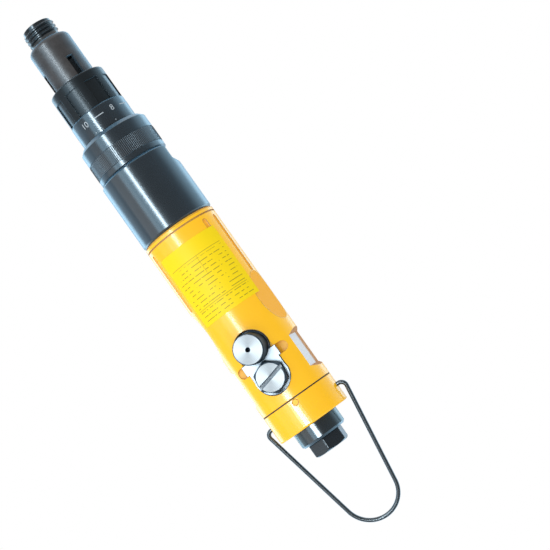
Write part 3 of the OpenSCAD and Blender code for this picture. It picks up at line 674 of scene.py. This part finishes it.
def phosphate_look(name, rgba, sheen):
    """Brown phosphate: mottled, dull, with wear to bare steel in patches."""
    look = Look(name)
    mottle = look.noise(160.0, 5.0, 0.65)
    wear_and_edge_lines = look.noise(45.0, 4.0, 0.6)
    look.set(
        Base_Color=look.blend(mottle, shade(rgba, 0.7), shade(rgba, 1.6)),
        Sheen_Weight=1.0,
        Sheen_Roughness=0.4,
        Sheen_Tint=sheen,
        Metallic=0.45 + wear_and_edge_lines * 0.3,
        Roughness=0.26 + mottle * 0.2,
        Normal=look.bump(mottle, 0.03, FINE),
    )
    return look.material


def metal_look(name, rgba, rough, grime=None, lathe=None):
    """Bare steel. grime darkens its corners with dirt and painted shade and its sharp edges with
    a painted dark reflection, and lathe is the node whose -Y face was turned.
    """
    look = Look(name)
    cloud = look.noise(90.0, 4.0, 0.6)
    grain = look.noise(900.0, 3.0)
    light = look.blend(cloud, shade(rgba, 0.86), shade(rgba, 1.1))
    if lathe:
        low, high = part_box(lathe)
        x, _, z = look.axes()
        dx, dz = x - (low.x + high.x) / 2, z - (low.z + high.z) / 2
        tool_marks = 9000.0  # radians a metre, one mark in 0.7 mm
        rings = ((dx * dx + dz * dz).sqrt() * tool_marks).sine()
        grain = rings * 0.8 + grain * 0.2
        # Painted highlight: two opposite sectors of a turned face are lighter, where its tool
        # marks would catch the lamps
        first_glint = 2.8
        glint_sector = (dz.atan2(dx) * 2.0 + first_glint).sine() * 0.5 + 0.5
        painted_glint = glint_sector * 0.7 + rings * 0.12 + cloud * 0.2
        light = look.blend(painted_glint, shade(rgba, 0.62), shade(rgba, 1.3))
        # and its flanks are darkened, painted shade
        faced = look.ramp(look.dot(look.surface("Normal"), (0.0, -1.0, 0.0)), 0.86, 0.985)
        light = look.blend(faced, shade(grime, 2.5), light)
    if grime:
        # Corners take the dark colour, dirt and painted shade, and sharp edges a dark grey, a
        # painted dark reflection.
        clear_of_dirt_and_shade = look.ramp(look.crevice(2.0 * MM), 0.42, 0.95)
        dark_edge_reflection = look.edges(0.45 * MM, 0.01, 0.08) * 0.85
        light = look.blend(clear_of_dirt_and_shade, tuple(grime), light)
        light = look.blend(dark_edge_reflection, light, shade(grime, 1.5))
    look.set(
        Base_Color=light,
        Metallic=1.0,
        Roughness=rough + cloud * 0.08,
        Normal=look.bump(grain, 0.05, FINE),
    )
    return look.material


def plain_look(name, rgba, rough):
    """A dull even finish with a faint cloud."""
    look = Look(name)
    cloud = look.noise(120.0, 3.0)
    look.set(
        Base_Color=look.blend(cloud, shade(rgba, 0.9), shade(rgba, 1.1)),
        Roughness=rough + cloud * 0.06,
    )
    return look.material


def label_look(name, base, ink, sizes):
    """A lemon film with broken thin rules and no words."""
    look = Look(name)
    x, y, z = look.axes()
    turn = (0.0 - x).atan2(0.0 - y)
    # Places on the label, as shares of its length and of its sweep
    along = (z - sizes.start) / (sizes.end - sizes.start)
    across = (turn + sizes.left) / (sizes.left + sizes.right)
    inside = (across > 0.07) * (across < 0.93)
    head, foot, top_rule, low_rule, post_end = 0.24, 0.97, 0.21, 0.80, 0.46
    row_count, row_share, thin = 17.0, 0.16, 0.004
    unbroken = look.noise(1.0, 1.0, 0.5, (420.0, 420.0, 120.0)) > 0.47
    row = (along * row_count).fract() < row_share
    rows = row * (along > head) * (along < foot) * unbroken * 0.7
    rules = (abs(along - top_rule) < thin).top(abs(along - low_rule) < thin)
    post = (abs(across - 0.52) < 0.003) * (along > top_rule) * (along < post_end)
    mask = ((rows * inside).top(rules * inside * 0.5)).top(post * 0.5)
    look.set(
        Base_Color=look.blend(mask, tuple(base), tuple(ink)),
        Roughness=0.5 + look.noise(200.0) * 0.05,
        Specular_IOR_Level=0.15,
    )
    return look.material


def finish_table(tool, flats):
    """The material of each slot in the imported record, and of nodes with a look of their own."""
    sheen = tuple(tool.sheen)
    return {
        "yellow_paint": paint_look("yellow_paint", tool.paint, tool.bare, flats),
        "black_steel": oxide_look("black_steel", tool.black, sheen, rough=0.16),
        "nose_bush": oxide_look(
            "thread_steel", tool.black, shade(sheen, 0.18), rough=0.18, gloss=0.6
        ),
        # The spring seat is a copy of the black oxide with little sheen and gloss: painted shade
        # for the seat seen in the sleeve's slot.
        "spring_seat": oxide_look(
            "shaded_seat_steel", tool.black, shade(sheen, 0.1), rough=0.3, gloss=0.25
        ),
        "inlet_bushing": oxide_look(
            "hexagon_steel", tool.black, shade(sheen, 0.62), rough=0.22, gloss=0.6,
            edge=1.5 * MM,
        ),
        "slate_steel": oxide_look(
            "slate_steel", tool.slate, shade(sheen, 0.5), rough=0.27, haze=0.38, grain=0.005,
            gloss=0.32,
        ),
        "black_wire": oxide_look(
            "black_wire", tool.wire, shade(sheen, 0.7), rough=0.3, haze=0.45
        ),
        "brown_steel": phosphate_look("brown_steel", tool.brown, sheen),
        "bright_steel": metal_look(
            "bright_steel", tool.silver, 0.52, tool.grime, lathe="reverse_button"
        ),
        "retainer_bolt": metal_look(
            "bolt_steel", tool.silver, 0.52, tool.grime, lathe="retainer_bolt"
        ),
        "plated_steel": metal_look("plated_steel", tool.plate, 0.52, tool.grime),
        "machined_steel": metal_look("machined_steel", tool.machined, 0.38),
        "spring_steel": metal_look("spring_steel", tool.machined, 0.28),
        "bronze": metal_look("bronze", tool.bronze, 0.36),
        "brass_mesh": metal_look("brass_mesh", tool.brass, 0.34),
        "vane_composite": plain_look("vane_composite", tool.vane, 0.55),
        "black_rubber": plain_look("black_rubber", tool.rubber, 0.6),
    }


def paint_with(piece, material):
    """Gives a piece one material."""
    piece.data.materials.clear()
    piece.data.materials.append(material)


def dress(piece, slot, body, material=None):
    """Gives a new piece its finish, the slot's own unless another is given, and the body that it
    rides on.
    """
    paint_with(piece, material or bpy.data.materials[slot])
    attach(piece, body)


# ---------------------------------------------------------------- operators


class DressFrame(bpy.types.Operator):
    """Makes the finishes and gives each CAD node its own"""

    bl_idname = "screwdriver.dress_frame"
    bl_label = "Finishes"

    def execute(self, context):
        looks = finish_table(context.scene.tool_finishes, context.scene.tool_flats)
        for row in frame["record"]["subparts"]:
            look = looks.get(row["node"]) or looks[row["material_slot"]]
            paint_with(NODES[row["node"]], look)
        return {"FINISHED"}


class NoseThread(bpy.types.Operator):
    """Turns the nose bush with its outside thread"""

    bl_idname = "screwdriver.nose_thread"
    bl_label = "Nose thread"

    def execute(self, context):
        size = context.scene.tool_nose
        chamfer, runout, bury, play = 0.3 * MM, 0.1 * MM, 0.15 * MM, 0.03 * MM
        foot_share, land_share = 0.86, 0.2  # of the pitch
        flange_r = radius_of("nose_bush")
        flange_z = front_of("front_sleeve") + size.front
        end = rear_of("nose_bush")
        bush_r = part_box("spindle_bush")[1].x + play
        core = begin("nose_bush_threaded")
        draw(
            [(size.mouth_r, 0.0), (size.root_r - chamfer, 0.0), (size.root_r, chamfer),
             (size.root_r, size.run - runout), (size.neck_r, size.run),
             (size.neck_r, flange_z), (flange_r, flange_z), (flange_r, end), (bush_r, end),
             (bush_r, size.lip), (size.mouth_r, size.lip)],
            closed=True,
        )
        spin(360.0, 96)
        bpy.ops.object.mode_set(mode="OBJECT")
        foot = size.pitch * foot_share
        start = foot / 2 + chamfer
        ridge = thread_ridge(
            "nose_ridge", size.root_r - bury, size.crest_r, start, size.pitch,
            turns=(size.run - runout - foot / 2 - start) / size.pitch,
            foot=foot, land=size.pitch * land_share, steps=72,
        )
        piece = settle(join([core, ridge]), 28.0)
        dress(piece, "black_steel", "tool", bpy.data.materials["thread_steel"])
        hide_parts("nose_bush")
        return {"FINISHED"}


class KnurlBand(bpy.types.Operator):
    """Cuts the straight knurl round the lock ring"""

    bl_idname = "screwdriver.knurl_band"
    bl_label = "Knurled band"

    def execute(self, context):
        size = context.scene.tool_knurl
        ring_r = radius_of("lock_ring")
        clear_selection()
        bpy.ops.mesh.primitive_circle_add(
            vertices=2 * size.ridges, radius=ring_r + size.stand, fill_type="NOTHING",
            location=(0, 0, size.start),
        )
        piece = context.object
        piece.name = piece.data.name = "lock_ring_knurl"
        bpy.ops.object.transform_apply(location=True)
        bpy.ops.object.mode_set(mode="EDIT")
        bpy.ops.mesh.select_all(action="SELECT")
        bpy.ops.mesh.extrude_region_move(
            TRANSFORM_OT_translate={"value": (0, 0, size.run)}
        )
        # Every second line along the band is pressed in
        bpy.ops.mesh.select_mode(type="VERT")
        mesh = bmesh.from_edit_mesh(piece.data)
        for vert in mesh.verts:
            turn = math.atan2(vert.co.y, vert.co.x) / math.tau * 2 * size.ridges
            vert.select_set(round(turn) % 2 == 0)
        mesh.select_flush_mode()
        bmesh.update_edit_mesh(piece.data)
        squeeze = 1 - size.depth / ring_r
        bpy.ops.transform.resize(
            value=(squeeze, squeeze, 1), center_override=(0, 0, size.start)
        )
        recalculate()
        bpy.ops.object.mode_set(mode="OBJECT")
        thicken(piece, size.wall)
        apply_modifiers(piece)
        settle(piece, 20.0)
        dress(piece, "black_steel", "lock")
        return {"FINISHED"}


class ScaleMarks(bpy.types.Operator):
    """Paints the numbers, dashes and index dots on the scale ring"""

    bl_idname = "screwdriver.scale_marks"
    bl_label = "Scale marks"

    def flat_number(self, word, height):
        """A number as a flat mesh, fine enough to follow the ring."""
        type_size = 1.36  # for each unit of a figure's height
        clear_selection()
        bpy.ops.object.text_add(location=(0, 0, 0))
        text = bpy.context.object
        text.data.body = word
        text.data.size = height * type_size
        text.data.align_x = "CENTER"
        text.data.align_y = "CENTER"
        text.data.resolution_u = 6
        bpy.ops.object.convert(target="MESH")
        piece = bpy.context.object
        bpy.ops.object.mode_set(mode="EDIT")
        bpy.ops.mesh.select_all(action="SELECT")
        bpy.ops.mesh.remove_doubles(threshold=WELD)
        bpy.ops.mesh.quads_convert_to_tris()
        bpy.ops.mesh.subdivide(number_cuts=2)
        bpy.ops.object.mode_set(mode="OBJECT")
        return piece

    def flat_bar(self, run, width):
        """A dash as a flat mesh."""
        clear_selection()
        bpy.ops.mesh.primitive_plane_add(size=1.0, location=(0, 0, 0))
        piece = bpy.context.object
        bpy.ops.object.mode_set(mode="EDIT")
        bpy.ops.transform.resize(value=(run, width, 1))
        bpy.ops.mesh.subdivide(number_cuts=12)
        bpy.ops.object.mode_set(mode="OBJECT")
        return piece

    def flat_dot(self, radius):
        """An index dot as a flat mesh."""
        clear_selection()
        bpy.ops.mesh.primitive_circle_add(
            vertices=16, radius=radius, fill_type="TRIFAN", location=(0, 0, 0)
        )
        return bpy.context.object

    def execute(self, context):
        size = context.scene.tool_marks
        lift, offset, dot_share = 0.4 * MM, 1.5 * MM, 0.6
        ten_back = math.radians(3.0)  # the photo's number ten stands back from its place
        out = radius_of("scale_ring") + lift
        rear = rear_of("scale_ring")
        row = (front_of("scale_ring") + rear) / 2 - offset
        made = []

        def lay(piece, turn, place, film):
            piece.matrix_world = facing(turn, out, place)
            made.append(wrap(piece, "scale_ring", film))

        for value in range(0, 11, 2):
            turn = size.nine + (9 - value) * size.step
            if value == 10:
                turn -= ten_back
            lay(self.flat_number(str(value), size.digit), turn, row, size.film)
        for i, bar in enumerate(copies(self.flat_bar(size.dash_run, size.dash_w), 5)):
            lay(bar, size.nine + 2 * i * size.step, row, size.film)
        gap = 360.0 / size.dots
        for i, dot in enumerate(copies(self.flat_dot(size.dot), size.dots)):
            turn = size.nine + math.radians(gap * (i + 0.5))
            lay(dot, turn, rear - offset, size.film * dot_share)
        piece = join(made)
        piece.name = piece.data.name = "scale_marks"
        settle(piece, 30.0)
        paint = plain_look("scale_paint", context.scene.tool_finishes.mark, 0.45)
        dress(piece, "black_steel", "collar", paint)
        return {"FINISHED"}


class PlainLabel(bpy.types.Operator):
    """Lays a plain label round the front of the handle"""

    bl_idname = "screwdriver.plain_label"
    bl_label = "Plain label"

    def execute(self, context):
        size = context.scene.tool_label
        solid_share = 0.8
        face_r = radius_of("handle_body") + size.stand
        piece = begin("handle_label")
        draw([(face_r, size.start), (face_r, size.end)], turn=-math.pi / 2 - size.right)
        spin(math.degrees(size.left + size.right), 48)
        bpy.ops.object.mode_set(mode="OBJECT")
        thicken(piece, size.stand * solid_share)
        apply_modifiers(piece)
        bpy.ops.object.mode_set(mode="EDIT")
        recalculate()
        bpy.ops.object.mode_set(mode="OBJECT")
        settle(piece, 30.0)
        tool = context.scene.tool_finishes
        dress(piece, "yellow_paint", "tool", label_look("label", tool.label, tool.ink, size))
        return {"FINISHED"}


class InletThread(bpy.types.Operator):
    """Cuts the pipe thread in the air inlet"""

    bl_idname = "screwdriver.inlet_thread"
    bl_label = "Inlet thread"

    def execute(self, context):
        size = context.scene.tool_inlet
        bury = 0.1 * MM
        foot_share, land_share, lead_share = 0.9, 0.14, 0.6  # of the pitch
        start = rear_of("inlet_screen") + size.pitch * lead_share
        piece = thread_ridge(
            "inlet_thread", size.bore_r + bury, size.bore_r - size.height, start, size.pitch,
            turns=(rear_of("inlet_bushing") - size.mouth - start) / size.pitch,
            foot=size.pitch * foot_share, land=size.pitch * land_share, steps=40,
        )
        settle(piece, 28.0)
        dress(piece, "black_steel", "tool")
        return {"FINISHED"}


class CoilSprings(bpy.types.Operator):
    """Winds the three springs in place of their CAD nodes"""

    bl_idname = "screwdriver.coil_springs"
    bl_label = "Coil springs"

    def wind(self, node, wire, outer, low, high, turns):
        """A round wire, drawn once and screwed from one end of the spring to the other."""
        clear_selection()
        bpy.ops.mesh.primitive_circle_add(
            vertices=10, radius=wire / 2, fill_type="NOTHING",
            location=(outer - wire / 2, 0, low + wire / 2), rotation=(math.pi / 2, 0, 0),
        )
        piece = bpy.context.object
        piece.name = piece.data.name = node + "_coil"
        bpy.ops.object.transform_apply(location=True, rotation=True)
        return screwed(piece, high - low - wire, turns, 32)

    def hold(self, piece, node, body, moved, fixed):
        """Settles a spring, gives it spring steel and hides its CAD node; body, moved and fixed
        are not used.
        """
        settle(piece)
        paint_with(piece, bpy.data.materials["spring_steel"])
        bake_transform(piece)
        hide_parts(node)

    def execute(self, context):
        size = context.scene.tool_springs
        for node, body, wire, turns in (
            ("clutch_spring", "seat", size.clutch, size.clutch_turns),
            ("throttle_spring", "throttle", size.throttle, size.throttle_turns),
        ):
            low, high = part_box(node)
            piece = self.wind(node, wire, high.x, low.z, high.z, turns)
            self.hold(piece, node, body, (0, 0, low.z + wire), (0, 0, high.z - wire))
        # The button's spring lies across the tool
        low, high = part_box("button_spring")
        wire = size.button
        piece = self.wind(
            "button_spring", wire, high.x, -high.y, -low.y, size.button_turns
        )
        piece.matrix_world = facing(0.0, 0.0, (low.z + high.z) / 2)
        self.hold(
            piece, "button_spring", "button", (0, low.y + wire, 0), (0, high.y - wire, 0)
        )
        return {"FINISHED"}


# Where the photo's camera stands: its turn from the button towards -X, and the two
# level directions that go with it, from the tool to the camera and to the picture's right
VIEW_TURN = math.radians(11.5)
SIGHT = Vector((-math.sin(VIEW_TURN), -math.cos(VIEW_TURN), 0))
ACROSS = Vector((-math.cos(VIEW_TURN), math.sin(VIEW_TURN), 0))
UP = Vector((0, 0, 1))


class ToolStage(bpy.types.Operator):
    """Sets the camera, the lamps, the floor and the surroundings"""

    bl_idname = "screwdriver.stage"
    bl_label = "Stage"

    def camera(self, scene):
        """The photo's camera: its distance, offset, tilt and roll to the tool's axis."""
        tilt, height, away, aside = math.radians(4.57), 0.252, 0.794, 0.0282
        roll_along, roll_across = 0.5793, 0.8151
        along = UP * math.cos(tilt) - SIGHT * math.sin(tilt)
        right = along * roll_along + ACROSS * roll_across
        up = along * -roll_across + ACROSS * roll_along
        back = SIGHT * math.cos(tilt) + UP * math.sin(tilt)
        lens = bpy.data.cameras.new("photo_camera")
        lens.lens, lens.sensor_width = 96.15, 36.0
        lens.clip_start, lens.clip_end = 0.05, 50.0
        eye = bpy.data.objects.new("photo_camera", lens)
        scene.collection.objects.link(eye)
        matrix = Matrix((right, up, back)).transposed().to_4x4()
        matrix.translation = Vector((0, 0, height)) + SIGHT * away + ACROSS * aside
        eye.matrix_world = matrix
        scene.camera = eye

    def lamp(self, name, degrees, away, height, aim, size, power, tint, matt=False):
        """A lamp at an angle from the camera towards -X, aimed at a place on the tool's axis.

        One that isn't matt shows in reflections only.
        """
        turn = VIEW_TURN + math.radians(degrees)
        place = Vector((-math.sin(turn) * away, -math.cos(turn) * away, height))
        clear_selection()
        bpy.ops.object.light_add(type="AREA", location=place)
        lamp = bpy.context.object
        lamp.name = name
        lamp.data.shape = "RECTANGLE"
        lamp.data.size, lamp.data.size_y = size
        lamp.data.energy = power
        lamp.data.color = tint
        look = (Vector((0, 0, aim)) - place).normalized()
        side = look.cross(UP).normalized()
        up = side.cross(look)
        lamp.rotation_euler = Matrix((side, up, -look)).transposed().to_euler()
        lamp.visible_camera = False
        lamp.visible_diffuse = matt

    def lamps(self, stage):
        """Two strips and a glow for the streaks of light, and one lamp that lights all."""
        white, cool, blue = (0.97, 0.99, 1.0), (0.72, 0.89, 1.0), (0.44, 0.76, 1.0)
        ahead, middle, rear = -0.18, 0.15, 0.31  # places along the tool
        self.lamp(
            "key_strip", degrees=-22, away=0.9, height=ahead, aim=ahead,
            size=(0.095, 0.85), power=stage.key, tint=cool,
        )
        self.lamp(
            "tail_strip", degrees=-18, away=0.9, height=rear, aim=rear,
            size=(0.26, 0.12), power=stage.tail, tint=cool,
        )
        self.lamp(
            "glow", degrees=-34, away=1.0, height=-0.1, aim=middle,
            size=(0.62, 1.1), power=stage.glow, tint=blue,
        )
        self.lamp(
            "fill", degrees=-62, away=1.0, height=0.4, aim=middle,
            size=(0.9, 1.2), power=stage.fill, tint=white, matt=True,
        )

    def surroundings(self, scene, stage):
        """White where the camera looks, dimmer behind the camera, as a studio is."""
        world = bpy.data.worlds.new("surroundings")
        scene.world = world
        world.use_nodes = True
        sky = Look(world)

        def light(level, tint=(1.0, 1.0, 1.0)):
            return sky.value(
                0, "ShaderNodeBackground", None, {"Color": (*tint, 1.0), "Strength": level}
            )

        def mix(factor, a, b):
            return sky.value(0, "ShaderNodeMixShader", None, {0: factor, 1: a, 2: b})

        def towards(direction, low, high):
            """0 to 1 as a ray's own direction turns towards the given one."""
            going = sky.value("Generated", "ShaderNodeTexCoord")
            return sky.ramp(sky.dot(going, direction), low, high)

        def halves(left, right):
            """One light on the lit side and another on the picture's right."""
            return mix(towards(ACROSS, -0.3, 0.3), left, right)

        rays = sky.node("ShaderNodeLightPath")
        seen, mirror, through = (
            Value(sky, rays.outputs[name])
            for name in ("Is Camera Ray", "Is Glossy Ray", "Is Transmission Ray")
        )
        cool = (0.56, 0.82, 1.0)
        lit_side = (SIGHT - ACROSS * 0.7).normalized()
        matt = mix(towards(lit_side, -0.8, 0.8), light(stage.shade), light(stage.sky))
        # In reflections: the white backdrop, cool walls beside it, then the room
        walls = halves(light(stage.left_wall, cool), light(stage.right_wall, cool))
        beyond = mix(towards(SIGHT, -0.93, -0.8) * mirror, light(1.0), walls)
        beside = halves(light(stage.left_side), light(stage.right_side, cool))
        room = mix(towards(SIGHT, -0.4, 0.3), beside, light(stage.room))
        studio = mix(towards(SIGHT, -0.68, -0.48) * mirror, beyond, room)
        shown = mix(seen.top(mirror).top(through), matt, studio)
        sky.feed(sky.out.inputs["Surface"], shown)

    def floor(self, stage):
        """A pale round floor below the tool."""
        clear_selection()
        bpy.ops.mesh.primitive_circle_add(
            vertices=96, radius=1.6, fill_type="NGON", location=(0, 0, -stage.drop)
        )
        floor = bpy.context.object
        floor.name = "floor"
        look = Look("floor")
        look.set(Base_Color=tuple(stage.floor), Roughness=0.9)
        floor.data.materials.append(look.material)

    def execute(self, context):
        scene = context.scene
        stage = scene.tool_stage
        scene.view_settings.view_transform = "Standard"
        self.camera(scene)
        self.lamps(stage)
        self.surroundings(scene, stage)
        self.floor(stage)
        return {"FINISHED"}


class ScrewdriverPanel(bpy.types.Panel):
    """Lists what makes the screwdriver's looks"""

    bl_idname = "VIEW3D_PT_screwdriver"
    bl_label = "Screwdriver"
    bl_space_type = "VIEW_3D"
    bl_region_type = "UI"
    bl_category = "Screwdriver"

    def draw(self, context):
        column = self.layout.column()
        for operator in OPERATORS:
            column.operator(operator.bl_idname)
        for key in GROUPS:
            group = getattr(context.scene, key)
            box = column.box()
            for name in group.__annotations__:
                box.prop(group, name)


OPERATORS = (
    DressFrame, NoseThread, KnurlBand, ScaleMarks, PlainLabel, InletThread, CoilSprings,
    ToolStage,
)
GROUPS = {
    "tool_nose": NoseSizes,
    "tool_knurl": KnurlSizes,
    "tool_marks": MarkSizes,
    "tool_label": LabelSizes,
    "tool_inlet": InletSizes,
    "tool_springs": SpringSizes,
    "tool_flats": FlatSizes,
    "tool_finishes": Finishes,
    "tool_stage": StageSizes,
}


def register():
    for group in (*GROUPS.values(), *OPERATORS, ScrewdriverPanel):
        bpy.utils.register_class(group)
    for key, group in GROUPS.items():
        setattr(bpy.types.Scene, key, bpy.props.PointerProperty(type=group))


def unregister():
    for key in GROUPS:
        delattr(bpy.types.Scene, key)
    for group in (ScrewdriverPanel, *reversed(OPERATORS), *reversed(GROUPS.values())):
        bpy.utils.unregister_class(group)


def main():
    register()
    clear_selection()
    bpy.ops.screwdriver.dress_frame()
    bpy.ops.screwdriver.nose_thread()
    bpy.ops.screwdriver.knurl_band()
    bpy.ops.screwdriver.scale_marks()
    bpy.ops.screwdriver.plain_label()
    bpy.ops.screwdriver.inlet_thread()
    bpy.ops.screwdriver.coil_springs()
    bpy.ops.screwdriver.stage()


if __name__ == "__main__":
    main()
